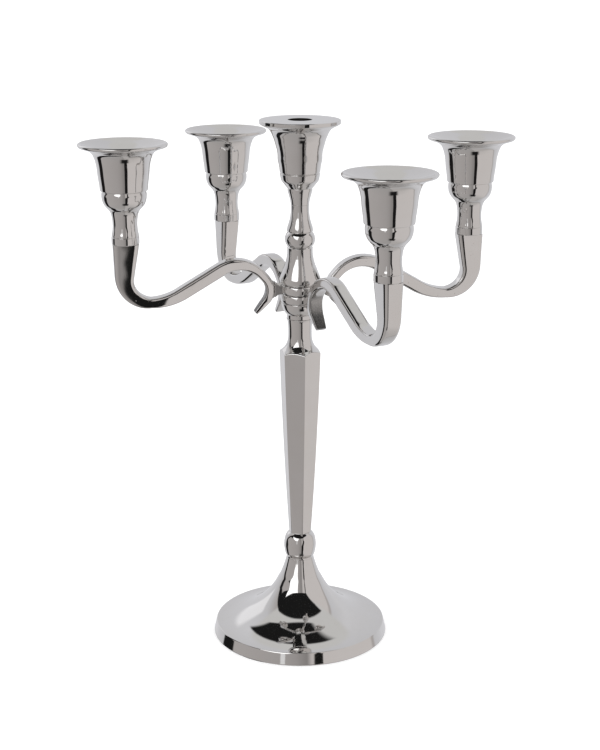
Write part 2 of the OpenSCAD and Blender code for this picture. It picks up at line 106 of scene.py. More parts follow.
def turned(name, outline, foot, finishes, dull_from=None, segments=176, softness=0.00022):
    """Turns a closed outline of (radius, height) in mm about the upright line through foot.
    The outline runs up the outside and back down the inside; dull_from starts the second finish."""
    points, rings = [], []
    turns = [2 * math.pi * j / segments for j in range(segments)]
    for r, z in outline:
        start = len(points)
        if r:
            rings.append(list(range(start, start + segments)))
            points += on_circle(foot, r, z, turns)
        else:
            # the outline meets the middle line in one point
            rings.append([start] * segments)
            points += on_circle(foot, 0, z, turns[:1])
    faces, dull = [], []
    n = len(outline)
    for i in range(n):
        a, b = rings[i], rings[(i + 1) % n]
        if a[0] == a[1] and b[0] == b[1]:
            continue
        for j in range(segments):
            k = (j + 1) % segments
            face = [a[j], a[k], b[k], b[j]]
            faces.append([v for m, v in enumerate(face) if v != face[m - 1]])
            dull.append(1 if dull_from is not None and i >= dull_from else 0)
    return mesh_piece(name, points, faces, finishes, dull, softness=softness)


def noise(tree, vector, scale, detail=3.0, rough=0.5):
    n = tree.nodes.new("ShaderNodeTexNoise")
    n.inputs["Scale"].default_value = scale
    n.inputs["Detail"].default_value = detail
    n.inputs["Roughness"].default_value = rough
    tree.links.new(vector, n.inputs["Vector"])
    return n.outputs["Fac"]


def ranged(tree, value, low, high, to_low, to_high):
    """Carries low to to_low and high to to_high, and holds still beyond them."""
    m = tree.nodes.new("ShaderNodeMapRange")
    for key, v in (("From Min", low), ("From Max", high), ("To Min", to_low), ("To Max", to_high)):
        m.inputs[key].default_value = v
    tree.links.new(value, m.inputs["Value"])
    return m.outputs["Result"]


def calc(tree, kind, a, b=None):
    m = tree.nodes.new("ShaderNodeMath")
    m.operation = kind
    for i, v in enumerate((a, b)):
        if v is None:
            continue
        if isinstance(v, (int, float)):
            m.inputs[i].default_value = v
        else:
            tree.links.new(v, m.inputs[i])
    return m.outputs[0]


def mixed(tree, factor, a, b, kind="RGBA"):
    """Goes from a to b with factor. Each of them is a colour or what another node gives."""
    m = tree.nodes.new("ShaderNodeMix")
    m.data_type = kind
    for key, v in (("Factor", factor), ("A", a), ("B", b)):
        if isinstance(v, tuple):
            m.inputs[key].default_value = (*v, 1)
        else:
            tree.links.new(v, m.inputs[key])
    return m.outputs["Result"]


def bumped(tree, height, depth, strength, before=None):
    b = tree.nodes.new("ShaderNodeBump")
    b.inputs["Strength"].default_value = strength
    b.inputs["Distance"].default_value = depth
    tree.links.new(height, b.inputs["Height"])
    if before is not None:
        tree.links.new(before, b.inputs["Normal"])
    return b.outputs["Normal"]


def bare_metal(name):
    """A new metal finish: the material, its node tree, its shader and the place on the piece."""
    material = bpy.data.materials.new(name)
    material.use_nodes = True
    tree = material.node_tree
    shader = tree.nodes["Principled BSDF"]
    shader.inputs["Metallic"].default_value = 1.0
    return material, tree, shader, tree.nodes.new("ShaderNodeTexCoord").outputs["Object"]


def polished_nickel(name, axis=None, polish=0.02, waviness=0.15, pits=0.0):
    """Nickel plate over polished aluminium. axis is the (x, y) that a turned piece was spun about."""
    material, tree, shader, place = bare_metal(name)
    centred = tree.nodes.new("ShaderNodeMapping")
    centred.inputs["Location"].default_value = (-axis[0], -axis[1], 0) if axis else (0, 0, 0)
    tree.links.new(place, centred.inputs["Vector"])
    centred = centred.outputs["Vector"]
    # slow hand-polishing waves, a faint orange peel, and haze where the mop went over it last
    waves = noise(tree, centred, 42, 1.0)
    peel = noise(tree, centred, 900, 2.0)
    haze = noise(tree, centred, 26, 4.0, 0.62)
    tone = ranged(tree, haze, 0.35, 0.7, 0.0, 1.0)
    tree.links.new(mixed(tree, tone, NICKEL, NICKEL_WARM), shader.inputs["Base Color"])
    rough = ranged(tree, haze, 0.3, 0.75, polish, polish + 0.04)
    if axis:
        # turning marks run round the piece, so they change only with radius and height
        parts = tree.nodes.new("ShaderNodeSeparateXYZ")
        tree.links.new(centred, parts.inputs["Vector"])
        x, y, z = (parts.outputs[i] for i in range(3))
        squares = calc(tree, "MULTIPLY", x, x), calc(tree, "MULTIPLY", y, y)
        radius = calc(tree, "SQRT", calc(tree, "ADD", *squares))
        round_line = tree.nodes.new("ShaderNodeCombineXYZ")
        tree.links.new(radius, round_line.inputs["X"])
        tree.links.new(z, round_line.inputs["Z"])
        marks = noise(tree, round_line.outputs["Vector"], 2600, 1.0)
        rough = calc(tree, "ADD", rough, ranged(tree, marks, 0.45, 0.8, 0.0, 0.02))
    else:
        marks = noise(tree, centred, 2200, 1.0)
    tree.links.new(rough, shader.inputs["Roughness"])
    normal = bumped(tree, waves, 0.0011 * waviness, 0.22)
    normal = bumped(tree, peel, 0.00004, 0.10, normal)
    normal = bumped(tree, marks, 0.00001, 0.12, normal)
    if pits:
        # small blowholes of the casting that polishing opened
        cells = tree.nodes.new("ShaderNodeTexVoronoi")
        cells.inputs["Scale"].default_value = 380
        tree.links.new(centred, cells.inputs["Vector"])
        rare = ranged(tree, noise(tree, centred, 60, 1.0), 0.66, 0.70, 0.0, 1.0)
        hole = ranged(tree, cells.outputs["Distance"], 0.07, 0.15, 1.0, 0.0)
        normal = bumped(tree, calc(tree, "MULTIPLY", hole, rare), -0.00012, pits, normal)
    tree.links.new(normal, shader.inputs["Normal"])
    return material


def cast_skin(name, shade=CAST_SKIN, lighter=CAST_SKIN_LIGHT):
    """The unpolished, plated skin of the sand casting."""
    material, tree, shader, place = bare_metal(name)
    grain = noise(tree, place, 1300, 4.0, 0.6)
    lumps = noise(tree, place, 160, 3.0)
    tree.links.new(mixed(tree, ranged(tree, lumps, 0.35, 0.65, 0.0, 1.0), shade, lighter),
                   shader.inputs["Base Color"])
    tree.links.new(ranged(tree, grain, 0.3, 0.7, 0.34, 0.6), shader.inputs["Roughness"])
    normal = bumped(tree, lumps, 0.0004, 0.35)
    tree.links.new(bumped(tree, grain, 0.00012, 0.5, normal), shader.inputs["Normal"])
    return material


skin = cast_skin("cast_skin")
nickel_middle = polished_nickel("polished_nickel_turned", axis=(0.0, 0.0))

BASE_R, BASE_H, NECK_R, WALL, ROOF_Z, ROD_HOLE = 84.3, 77.0, 13.0, 3.5, 50.0, 3.3
EDGE_H, EDGE_LEAN, FOOT_H = 12.0, 2.8, 1.6
trumpet_top, trumpet_foot = NECK_R + 11.5, BASE_R - EDGE_LEAN
steep, flat = math.radians(59), math.radians(7)
trumpet_r = (trumpet_foot - trumpet_top) / (math.sin(steep) - math.sin(flat))
trumpet_z = EDGE_H + trumpet_r * (math.cos(flat) - math.cos(steep))
centre_r, centre_z = trumpet_foot + trumpet_r * math.sin(flat), EDGE_H + trumpet_r * math.cos(flat)
roof_turn = math.degrees(math.acos((centre_z - ROOF_Z) / (trumpet_r + WALL)))
band_lean = (BASE_R - trumpet_foot - 0.4) / (EDGE_H - FOOT_H)
outside = ([(BASE_R - 0.6, 0), (BASE_R, 1), (BASE_R - 0.6 * band_lean, FOOT_H),
            (trumpet_foot + 0.4 + 0.6 * band_lean, EDGE_H - 1.2), (trumpet_foot + 0.4, EDGE_H - 0.6)]
           + arc(centre_r, centre_z, trumpet_r, 270 - math.degrees(flat), 270 - math.degrees(steep), 48)
           + flowing([(trumpet_top, trumpet_z), (NECK_R + 8.2, trumpet_z + 6.2),
                      (NECK_R + 5.5, trumpet_z + 11.2), (NECK_R + 3, BASE_H - 10),
                      (NECK_R + 1.3, BASE_H - 4.6), (NECK_R, BASE_H)], 8)[1:])
inside = ([(ROD_HOLE, BASE_H), (ROD_HOLE, ROOF_Z)]
          + arc(centre_r, centre_z, trumpet_r + WALL, 270 - roof_turn, 261, 40)
          + [(trumpet_foot - WALL, EDGE_H - WALL), (BASE_R - WALL, 0)])
base = turned("base_casting", outside + inside, (0, 0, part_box("base")[0].z), [nickel_middle, skin],
              dull_from=len(outside) + 1, segments=224)
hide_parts("base")
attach(base, "stand")

# Tie rod, nut and washer. A zinc-plated M6 rod draws the whole stand together
# from inside the centre cup down to a nut and a stamped washer under the base.
ZINC, ZINC_LIGHT = (0.52, 0.53, 0.54), (0.62, 0.62, 0.60)


def zinc_plate(name):
    """Dull zinc over turned or stamped steel."""
    material, tree, shader, place = bare_metal(name)
    cloud = noise(tree, place, 420, 4.0, 0.6)
    fine = noise(tree, place, 2600, 2.0)
    tree.links.new(mixed(tree, ranged(tree, cloud, 0.3, 0.7, 0.0, 1.0), ZINC, ZINC_LIGHT),
                   shader.inputs["Base Color"])
    tree.links.new(ranged(tree, cloud, 0.25, 0.75, 0.28, 0.48), shader.inputs["Roughness"])
    tree.links.new(bumped(tree, fine, 0.00003, 0.4), shader.inputs["Normal"])
    return material


EDGE_WEAR = 0.35


def six_sided(name, rows, foot, bore, finishes, turn=0.0, per_side=18):
    """A six-sided solid whose corners a turned cutter has trimmed: rows of (height, corner radius,
    cutter radius) in mm, with a round bore through it."""
    points, ring_size = [], 6 * per_side
    # finer steps near each corner, where the surface turns fast
    ease = [0.5 - 0.5 * math.cos(math.pi * k / per_side) for k in range(per_side)]
    angles = [math.radians(60 * s + 60 * e) for s in range(6) for e in ease]
    for z, corner, cutter in rows:
        for t in angles:
            across = (t % math.radians(60)) - math.radians(30)
            side = corner * math.cos(math.radians(30)) / math.cos(across)
            # the flat side and the cutter's round meet in a worn edge
            gap = (side - cutter) / EDGE_WEAR
            r = min(side, cutter) - EDGE_WEAR * math.log1p(math.exp(-abs(gap)))
            points += on_circle(foot, r, z, [t + turn])
    n = len(rows)
    faces = [[i * ring_size + j, i * ring_size + (j + 1) % ring_size,
              (i + 1) * ring_size + (j + 1) % ring_size, (i + 1) * ring_size + j]
             for i in range(n - 1) for j in range(ring_size)]
    top = len(points)
    low = top + ring_size
    for z in (rows[-1][0], rows[0][0]):
        points += on_circle(foot, bore, z, [t + turn for t in angles])
    for j in range(ring_size):
        k = (j + 1) % ring_size
        faces.append([(n - 1) * ring_size + j, (n - 1) * ring_size + k, top + k, top + j])
        faces.append([top + j, top + k, low + k, low + j])
        faces.append([low + j, low + k, k, j])
    return mesh_piece(name, points, faces, finishes)


zinc = zinc_plate("zinc_plated_steel")
WASHER_R, WASHER_HOLE, NUT_CORNER, NUT_CUTTER, NUT_BORE = 9.0, 3.3, 5.77, 5.3, 3.05
ROD_R, THREAD_ROOT, THREAD_L, THREAD_PITCH, THREAD_RIDGE = 2.95, 2.72, 12.0, 1.0, 0.26
washer_low, washer_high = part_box("base_washer")
washer_t = (washer_high.z - washer_low.z) / MM
washer_outline = [(WASHER_R - 0.6, 0), (WASHER_R - 0.15, 0.25), (WASHER_R, 0.6), (WASHER_R, washer_t - 0.1),
                  (WASHER_R - 0.1, washer_t), (WASHER_HOLE + 0.1, washer_t), (WASHER_HOLE, washer_t - 0.15),
                  (WASHER_HOLE, 0.3), (WASHER_HOLE + 0.3, 0)]
washer = turned("washer_stamped", washer_outline, (0, 0, washer_low.z), [zinc], segments=96, softness=0.0)
nut_low, nut_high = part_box("base_nut")
nut_t = (nut_high.z - nut_low.z) / MM
# the nut's corners are chamfered at both ends
chamfer = [0, 0.08, 0.16, 0.24, 0.32, 0.42, 0.55, 0.8]
nut_rows = [(z, NUT_CORNER, NUT_CUTTER + 1.1 * min(z, nut_t - z))
            for z in chamfer + [nut_t / 2] + [nut_t - z for z in reversed(chamfer)]]
nut = six_sided("nut_hex", nut_rows, (0, 0, nut_low.z), NUT_BORE, [zinc])
rod_low, rod_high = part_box("tie_rod")
rod_l = (rod_high.z - rod_low.z) / MM
rod_outline = [(0, 0), (THREAD_ROOT - 0.62, 0), (THREAD_ROOT, 0.6), (THREAD_ROOT, THREAD_L),
               (ROD_R, THREAD_L + 0.4), (ROD_R, rod_l - 0.5), (ROD_R - 0.55, rod_l), (0, rod_l)]
rod = turned("tie_rod_shank", rod_outline, (0, 0, rod_low.z), [zinc], segments=64, softness=0.0)


def node_link(tree, start, start_socket, end, end_socket):
    tree.links.new(start.outputs[start_socket], end.inputs[end_socket])


def shape_tree(name, **inputs):
    """A new geometry tree with a mesh in, a mesh and a Finish, and inputs of the kinds given."""
    tree = bpy.data.node_groups.new(name, "GeometryNodeTree")
    for label, kind in (("Geometry", "Geometry"), *inputs.items(), ("Finish", "Material")):
        tree.interface.new_socket(name=label.replace("_", " "), in_out="INPUT", socket_type="NodeSocket" + kind)
    tree.interface.new_socket(name="Geometry", in_out="OUTPUT", socket_type="NodeSocketGeometry")
    return tree, tree.nodes.new("NodeGroupInput"), tree.nodes.new("NodeGroupOutput")


def finished(tree, given, last, socket, made):
    """Ends a tree: the last node's mesh is made real and gets the Finish."""
    solid = tree.nodes.new("GeometryNodeRealizeInstances")
    node_link(tree, last, socket, solid, "Geometry")
    coat = tree.nodes.new("GeometryNodeSetMaterial")
    node_link(tree, solid, "Geometry", coat, "Geometry")
    node_link(tree, given, "Finish", coat, "Material")
    node_link(tree, coat, "Geometry", made, "Geometry")


# the thread is one ridge that winds up the rod's lower end
thread, given, made = shape_tree("rod_thread", Thread_Radius="Float", Pitch="Float", Turns="Float", Ridge="Float",
                                 Start_Height="Float")
spiral = thread.nodes.new("GeometryNodeCurveSpiral")
spiral.inputs["Resolution"].default_value = 28
node_link(thread, given, "Turns", spiral, "Rotations")
node_link(thread, given, "Thread Radius", spiral, "Start Radius")
node_link(thread, given, "Thread Radius", spiral, "End Radius")
rise = thread.nodes.new("ShaderNodeMath")
rise.operation = "MULTIPLY"
node_link(thread, given, "Turns", rise, 0)
node_link(thread, given, "Pitch", rise, 1)
node_link(thread, rise, 0, spiral, "Height")
lift = thread.nodes.new("GeometryNodeTransform")
shift = thread.nodes.new("ShaderNodeCombineXYZ")
node_link(thread, given, "Start Height", shift, "Z")
node_link(thread, shift, "Vector", lift, "Translation")
node_link(thread, spiral, "Curve", lift, "Geometry")
ridge = thread.nodes.new("GeometryNodeCurvePrimitiveCircle")
ridge.inputs["Resolution"].default_value = 4
node_link(thread, given, "Ridge", ridge, "Radius")
wound = thread.nodes.new("GeometryNodeCurveToMesh")
wound.inputs["Fill Caps"].default_value = True
node_link(thread, lift, "Geometry", wound, "Curve")
node_link(thread, ridge, "Curve", wound, "Profile Curve")
both = thread.nodes.new("GeometryNodeJoinGeometry")
node_link(thread, wound, "Mesh", both, "Geometry")
node_link(thread, given, "Geometry", both, "Geometry")
finished(thread, given, both, "Geometry", made)


def grown(piece, tree, **inputs):
    """Runs a piece through a node tree and leaves the result as its plain mesh."""
    grow = piece.modifiers.new("grow", "NODES")
    grow.node_group = tree
    for item in tree.interface.items_tree:
        label = item.name.replace(" ", "_").lower()
        if item.item_type == "SOCKET" and item.in_out == "INPUT" and label in inputs:
            grow[item.identifier] = inputs[label]
    ready = piece.evaluated_get(bpy.context.evaluated_depsgraph_get())
    whole = bpy.data.meshes.new_from_object(ready)
    piece.modifiers.remove(grow)
    old, piece.data = piece.data, whole
    whole.name = piece.name
    bpy.data.meshes.remove(old)
    return piece


grown(rod, thread, thread_radius=THREAD_ROOT * MM, pitch=THREAD_PITCH * MM, turns=(THREAD_L - 1.0) / THREAD_PITCH,
      ridge=THREAD_RIDGE * MM, start_height=rod_low.z + 0.9 * MM, finish=zinc)
for piece, node in ((washer, "base_washer"), (nut, "base_nut"), (rod, "tie_rod")):
    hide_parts(node)
    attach(piece, "stand")

# Column. One casting: a round bead at the foot, a six-sided shaft that widens
# upwards, ground flat on its six sides, and a turned neck above the shoulder,
# where the turning trims the six corners into scallops.
COLUMN_H, BEAD_R, BEAD_H, FOOT_R, TOP_R, SWELL, NECK_L, WAIST_R = 238.8, 15.5, 22.0, 11.2, 20.2, 0.7, 32.8, 11.1
SHAFT_TURN = math.radians(5 - 90)
shaft_z, shoulder_z = BEAD_H + 4, COLUMN_H - NECK_L
nickel_shaft = polished_nickel("polished_nickel_shaft", polish=0.05, waviness=0.6, pits=0.35)
bead = flowing([(BEAD_R - 2.3, 0), (BEAD_R - 2.3, 1.6), (BEAD_R - 1, 5), (BEAD_R, 1.6 + BEAD_H / 2),
                (BEAD_R - 1, BEAD_H - 2), (BEAD_R - 2.6, BEAD_H + 1.6), (FOOT_R - 0.5, shaft_z)], 8)
neck = flowing([(WAIST_R + 10.5, shoulder_z - 0.6), (WAIST_R + 5.8, shoulder_z + 2.6),
                (WAIST_R + 2.6, shoulder_z + 6.4), (WAIST_R + 0.7, COLUMN_H - 22), (WAIST_R, COLUMN_H - 17),
                (WAIST_R, COLUMN_H - 9), (WAIST_R + 0.6, COLUMN_H - 3), (WAIST_R + 1.6, COLUMN_H)], 8)
column_foot = (0, 0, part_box("column")[0].z)


def shaft_corner(t):
    """The corner radius of the shaft, from its foot (0) to its shoulder (1)."""
    return FOOT_R + (TOP_R - FOOT_R) * t + 4 * SWELL * t * (1 - t)


# the shaft starts inside the bead; polishing has worn its six edges rounder towards the foot;
# the first points of the neck's line trim its corners, and the turned neck starts among them
SUNK, FOOT_WEAR, WEAR_FADES, STEPS, TRIMMED_TO, NECK_FROM = 4, 0.6, 2.4, 96, 24, 16
shaft_l = shoulder_z + 2 * SUNK - shaft_z
rows = []
for k in range(STEPS + 1):
    t = k / STEPS
    z = shaft_z - SUNK + shaft_l * t
    if z >= shoulder_z - 0.6:
        break
    rows.append((z, shaft_corner(t), shaft_corner(t) - FOOT_WEAR + WEAR_FADES * t))
rows += [(z, shaft_corner(min((z - shaft_z + SUNK) / shaft_l, 1)), r) for r, z in neck[:TRIMMED_TO]]
shaft = six_sided("column_shaft", rows, column_foot, ROD_HOLE, [nickel_shaft], turn=SHAFT_TURN, per_side=24)
bead_inside = [(FOOT_R - 3, shaft_z + 0.5), (ROD_HOLE, shaft_z + 0.5), (ROD_HOLE, 0)]
column_bead = turned("column_bead", bead + bead_inside, column_foot, [nickel_middle])
column_neck = turned("column_neck", neck[NECK_FROM:] + [(ROD_HOLE, COLUMN_H), (ROD_HOLE, neck[NECK_FROM][1])],
                     column_foot, [nickel_middle])
for piece in (shaft, column_bead, column_neck):
    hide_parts("column")
    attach(piece, "stand")

# Collar. A turned bowl on the column, with the plain spigot above it that
# both yokes turn on; polished and nickel plated all over.
COLLAR_H, COLLAR_R, SPIGOT_R, YOKE_PITCH = 15.5, 17.4, 7.0, 8.6
spigot_top = COLLAR_H + 2 * YOKE_PITCH
bowl = ([(COLLAR_R - 5.3, 0), (COLLAR_R - 5, 0.6), (COLLAR_R - 5, 3.6)]
        + flowing([(COLLAR_R - 4.7, 4.3), (COLLAR_R - 2.9, 6.4), (COLLAR_R - 1.3, 9.4),
                   (COLLAR_R - 0.2, COLLAR_H - 2.4), (COLLAR_R, COLLAR_H - 0.8), (COLLAR_R - 0.2, COLLAR_H)], 7)
        + [(SPIGOT_R, COLLAR_H), (SPIGOT_R, spigot_top), (ROD_HOLE, spigot_top), (ROD_HOLE, 0)])
collar = turned("collar_bowl", bowl, (0, 0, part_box("collar")[0].z), [nickel_middle])
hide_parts("collar")
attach(collar, "stand")

# Yokes. Two castings, each a ring with two opposite lugs that flare up and
# down to the seats of its arms; filed, polished and plated like the arms.
RING_R, RING_T, YOKE_BORE_R = 18.4, 8.5, 7.05
LUG_W, LUG_REACH, LUG_TAPER, LUG_FLARE_R, PAD_H = 11.0, 24.3, 0.07, 5.5, RING_T / 2 + 4.4
nickel_cast = polished_nickel("polished_nickel_cast", polish=0.04, waviness=1.2, pits=0.5)


def plate_between(outline, half_width, place, points, faces):
    """Adds to points and faces a plate with an outline of (outwards, up) in mm, half_width to each side
    and filed a little narrower outwards."""
    start, n = len(points), len(outline)
    for side in (-1, 1):
        points += [place @ Vector((x * MM, side * (half_width - max(x - RING_R, 0) * LUG_TAPER) * MM, z * MM))
                   for x, z in outline]
    faces.append([start + i for i in range(n)])
    faces.append([start + n + i for i in reversed(range(n))])
    faces += [[start + i, start + n + i, start + n + (i + 1) % n, start + (i + 1) % n] for i in range(n)]


def arm_direction(node):
    low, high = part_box(node)
    return math.atan2(low.y + high.y, low.x + high.x)


flare_x, flare_z = LUG_REACH - LUG_FLARE_R, RING_T / 2 + LUG_FLARE_R
lug_side = ([(flare_x, -RING_T / 2)] + arc(flare_x, -flare_z, LUG_FLARE_R, 90, 35, 8)[1:]
            + [(LUG_REACH, 1.5 - PAD_H), (LUG_REACH, PAD_H - 1.5)]
            + arc(flare_x, flare_z, LUG_FLARE_R, -35, -90, 8)
            + [(RING_R - 2.5, RING_T / 2), (RING_R - 2.5, -RING_T / 2)])
# the ring's rim is filed a little round
rim_half = [(RING_R - 0.9, RING_T / 2 - 0.45), (RING_R - 0.4, RING_T / 2 - 1.4), (RING_R - 0.1, RING_T / 2 - 2.8)]
ring_face = flowing([(r, -z) for r, z in rim_half] + [(RING_R, 0)] + rim_half[::-1], 4)
bore_edge = YOKE_BORE_R + 0.35
for node, first_cup, body in (("upper_yoke", "cup_right", "upper_arms"),
                              ("lower_yoke", "cup_front", "lower_arms")):
    low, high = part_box(node)
    middle = Vector((0, 0, (low.z + high.z) / 2))
    ring = turned(node + "_ring", [(bore_edge, -RING_T / 2), (RING_R - 1.7, -RING_T / 2)] + ring_face
                  + [(RING_R - 1.7, RING_T / 2), (bore_edge, RING_T / 2), (YOKE_BORE_R, RING_T / 2 - 0.35),
                     (YOKE_BORE_R, 0.35 - RING_T / 2)], middle, [nickel_cast], softness=0.0)
    points, faces = [], []
    for half_turn in (0, math.pi):
        place = Matrix.Translation(middle) @ Matrix.Rotation(arm_direction(first_cup) + half_turn, 4, "Z")
        plate_between(lug_side, LUG_W / 2, place, points, faces)
    lugs = mesh_piece(node + "_lugs", points, faces, [nickel_cast], softness=0.0017, rounding=4)
    for piece in (ring, lugs):
        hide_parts(node)
        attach(piece, body)

# Studs. Zinc-plated M5 studs join each lug to its arm and each arm through
# its spool to the cup; they are out of sight inside the castings.
for node in ("upper_lug_studs", "lower_lug_studs", "upper_cup_studs", "lower_cup_studs"):
    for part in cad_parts[node].material_slots:
        part.material = zinc

# Arms. Each is one solid casting: a hook that clasps the lug, a high crest, a
# long fall and an elbow that turns up and thickens to the cup's seat. Ground
# and polished all round, but the hollow of the hook keeps its cast skin, with
# painted shade that darkens it deeper in.
ARM_REACH, ARM_RISE, SEAT_T, SEAT_W = 160.0, 46.7, 24.0, 18.5
HOOK_T, HOOK_W, CREST_T, ELBOW_T = 7.8, 14.0, 12.0, 9.0
HOOK_BEND_R, CREST_BEND_R, SWEEP_BEND_R, ELBOW_BEND_R, TAIL_L, LINK_L = 16.5, 30.0, 56.0, 24.0, 14.0, 5.0
HOOK_OUT, TAIL_OUT, SLOPE, LEAN = 48.0, 41.0, 30.5, 4.0


def stretch(start, heading, length, turn, steps):
    """Points of a straight or a bend from start, which is left out; heading and turn in degrees."""
    line = []
    for k in range(1, steps + 1):
        t = k / steps
        h, g = math.radians(heading), math.radians(heading + turn * t)
        if turn:
            r = length / math.radians(turn)
            line.append((start[0] + r * (math.sin(g) - math.sin(h)),
                         start[1] + r * (math.cos(h) - math.cos(g))))
        else:
            line.append((start[0] + length * t * math.cos(h), start[1] + length * t * math.sin(h)))
    return line


def bend(radius, turn):
    return radius * math.radians(abs(turn))


def sized(line, start, end):
    """Adds thickness and width to the points of a line."""
    n = len(line)
    return [(*p, *(a + (b - a) * (k + 1) / n for a, b in zip(start, end))) for k, p in enumerate(line)]


hook = (LUG_REACH + HOOK_T / 2 + 0.3, 0.0)
up = stretch(hook, 90, bend(HOOK_BEND_R, 90 - HOOK_OUT), HOOK_OUT - 90, 10)
up += stretch(up[-1], HOOK_OUT, LINK_L, 0, 3)
crest = stretch(up[-1], HOOK_OUT, bend(CREST_BEND_R, HOOK_OUT + SLOPE), -HOOK_OUT - SLOPE, 24)
sweep_d = stretch((0, 0), -SLOPE, bend(SWEEP_BEND_R, SLOPE), SLOPE, 1)[0]
elbow_d = stretch((0, 0), 0, bend(ELBOW_BEND_R, 90 + LEAN), 90 + LEAN, 1)[0]
gap_x = ARM_REACH - crest[-1][0] - sweep_d[0] - elbow_d[0]
gap_z = ARM_RISE - crest[-1][1] - sweep_d[1] - elbow_d[1]
slope_tan, lean = math.tan(math.radians(SLOPE)), math.radians(LEAN)
upright_l = (gap_z + gap_x * slope_tan) / (math.cos(lean) - math.sin(lean) * slope_tan)
fall_l = (gap_x + upright_l * math.sin(lean)) / math.cos(math.radians(SLOPE))
fall = stretch(crest[-1], -SLOPE, fall_l, 0, 9)
sweep = stretch(fall[-1], -SLOPE, bend(SWEEP_BEND_R, SLOPE), SLOPE, 12)
elbow = stretch(sweep[-1], 0, bend(ELBOW_BEND_R, 90 + LEAN), 90 + LEAN, 26)
upright = stretch(elbow[-1], 90 + LEAN, upright_l, 0, 8)
down = stretch(hook, -90, bend(HOOK_BEND_R, TAIL_OUT), TAIL_OUT, 10)
tail = down + stretch(down[-1], TAIL_OUT - 90, TAIL_L, 0, 8)
elbow_size = ((ELBOW_T + SEAT_T) / 2 + 1.5, (HOOK_W + SEAT_W) / 2)
arm_line = [(*p, HOOK_T * (1 - 0.55 * t * t), HOOK_W * (1 - 0.3 * t * t))
            for p, t in [(p, (k + 1) / len(tail)) for k, p in enumerate(tail)]][::-1]
tail_count = len(arm_line)
arm_line += [(*hook, HOOK_T, HOOK_W)]
arm_line += sized(up, (HOOK_T, HOOK_W), (HOOK_T + 0.4, HOOK_W))
arm_line += sized(crest, (HOOK_T + 0.4, HOOK_W), (CREST_T, HOOK_W - 0.5))
arm_line += sized(fall, (CREST_T, HOOK_W - 0.5), (CREST_T, HOOK_W - 0.5))
arm_line += sized(sweep, (CREST_T, HOOK_W - 0.5), (ELBOW_T, HOOK_W))
arm_line += sized(elbow, (ELBOW_T, HOOK_W), elbow_size)
arm_line += sized(upright, elbow_size, (SEAT_T, SEAT_W))

# one tree sweeps every arm: a rounded section, sized at each point of the line it is given
arm_sweep, given, made = shape_tree("arm_sweep", Section_Points="Int", Edge_Sharpness="Float")
add = arm_sweep.nodes.new


def named(label, kind="FLOAT"):
    n = add("GeometryNodeInputNamedAttribute")
    n.data_type = kind
    n.inputs["Name"].default_value = label
    return n.outputs["Attribute"]


def vector_math(tree, kind, a, b=None, scale=None):
    n = tree.nodes.new("ShaderNodeVectorMath")
    n.operation = kind
    for key, v in ((0, a), (1, b), ("Scale", scale)):
        if v is not None:
            tree.links.new(v, n.inputs[key])
    return n.outputs["Vector"]


line = add("GeometryNodeMeshToCurve")
node_link(arm_sweep, given, "Geometry", line, "Mesh")
loop = add("GeometryNodeCurvePrimitiveCircle")
node_link(arm_sweep, given, "Section Points", loop, "Resolution")
loop.inputs["Radius"].default_value = 1.0
corner = add("GeometryNodeStoreNamedAttribute")
corner.data_type, corner.domain = "FLOAT_VECTOR", "POINT"
corner.inputs["Name"].default_value = "corner"
node_link(arm_sweep, loop, "Curve", corner, "Geometry")
node_link(arm_sweep, add("GeometryNodeInputPosition"), "Position", corner, "Value")
swept = add("GeometryNodeCurveToMesh")
swept.inputs["Fill Caps"].default_value = True
node_link(arm_sweep, line, "Curve", swept, "Curve")
node_link(arm_sweep, corner, "Geometry", swept, "Profile Curve")
parts = add("ShaderNodeSeparateXYZ")
arm_sweep.links.new(named("corner", "FLOAT_VECTOR"), parts.inputs["Vector"])


def squared(value):
    """Pushes a circle's coordinate towards a square's, by Edge Sharpness."""
    size = calc(arm_sweep, "POWER", calc(arm_sweep, "ABSOLUTE", value), given.outputs["Edge Sharpness"])
    return calc(arm_sweep, "MULTIPLY", size, calc(arm_sweep, "SIGN", value))


half_t, half_w = (calc(arm_sweep, "MULTIPLY", named(size), 0.5) for size in ("thickness", "width"))
over = calc(arm_sweep, "MULTIPLY", squared(parts.outputs["X"]), half_t)
aside = calc(arm_sweep, "MULTIPLY", squared(parts.outputs["Y"]), half_w)
over, aside = (vector_math(arm_sweep, "SCALE", named(way, "FLOAT_VECTOR"), scale=size)
               for way, size in (("across", over), ("aside", aside)))
spot = vector_math(arm_sweep, "ADD", named("spot", "FLOAT_VECTOR"), vector_math(arm_sweep, "ADD", over, aside))
shaped = add("GeometryNodeSetPosition")
node_link(arm_sweep, swept, "Mesh", shaped, "Geometry")
arm_sweep.links.new(spot, shaped.inputs["Position"])
hollow = add("GeometryNodeStoreNamedAttribute")
hollow.data_type, hollow.domain = "FLOAT", "POINT"
hollow.inputs["Name"].default_value = "hook_hollow_skin_and_shade"
node_link(arm_sweep, shaped, "Geometry", hollow, "Geometry")
# the part of the section that faces into the hook, which gets the hollow's cast skin and its painted shade
facing = calc(arm_sweep, "GREATER_THAN", parts.outputs["X"], 0.55)
arm_sweep.links.new(calc(arm_sweep, "MULTIPLY", facing, named("in_hook")), hollow.inputs["Value"])
finished(arm_sweep, given, hollow, "Geometry", made)

# the hook's hollow: its cast skin, and the near-black painted shade it goes to deep inside
HOLLOW_SKIN, HOLLOW_PAINTED_SHADE = (0.46, 0.455, 0.445), (0.10, 0.10, 0.10)


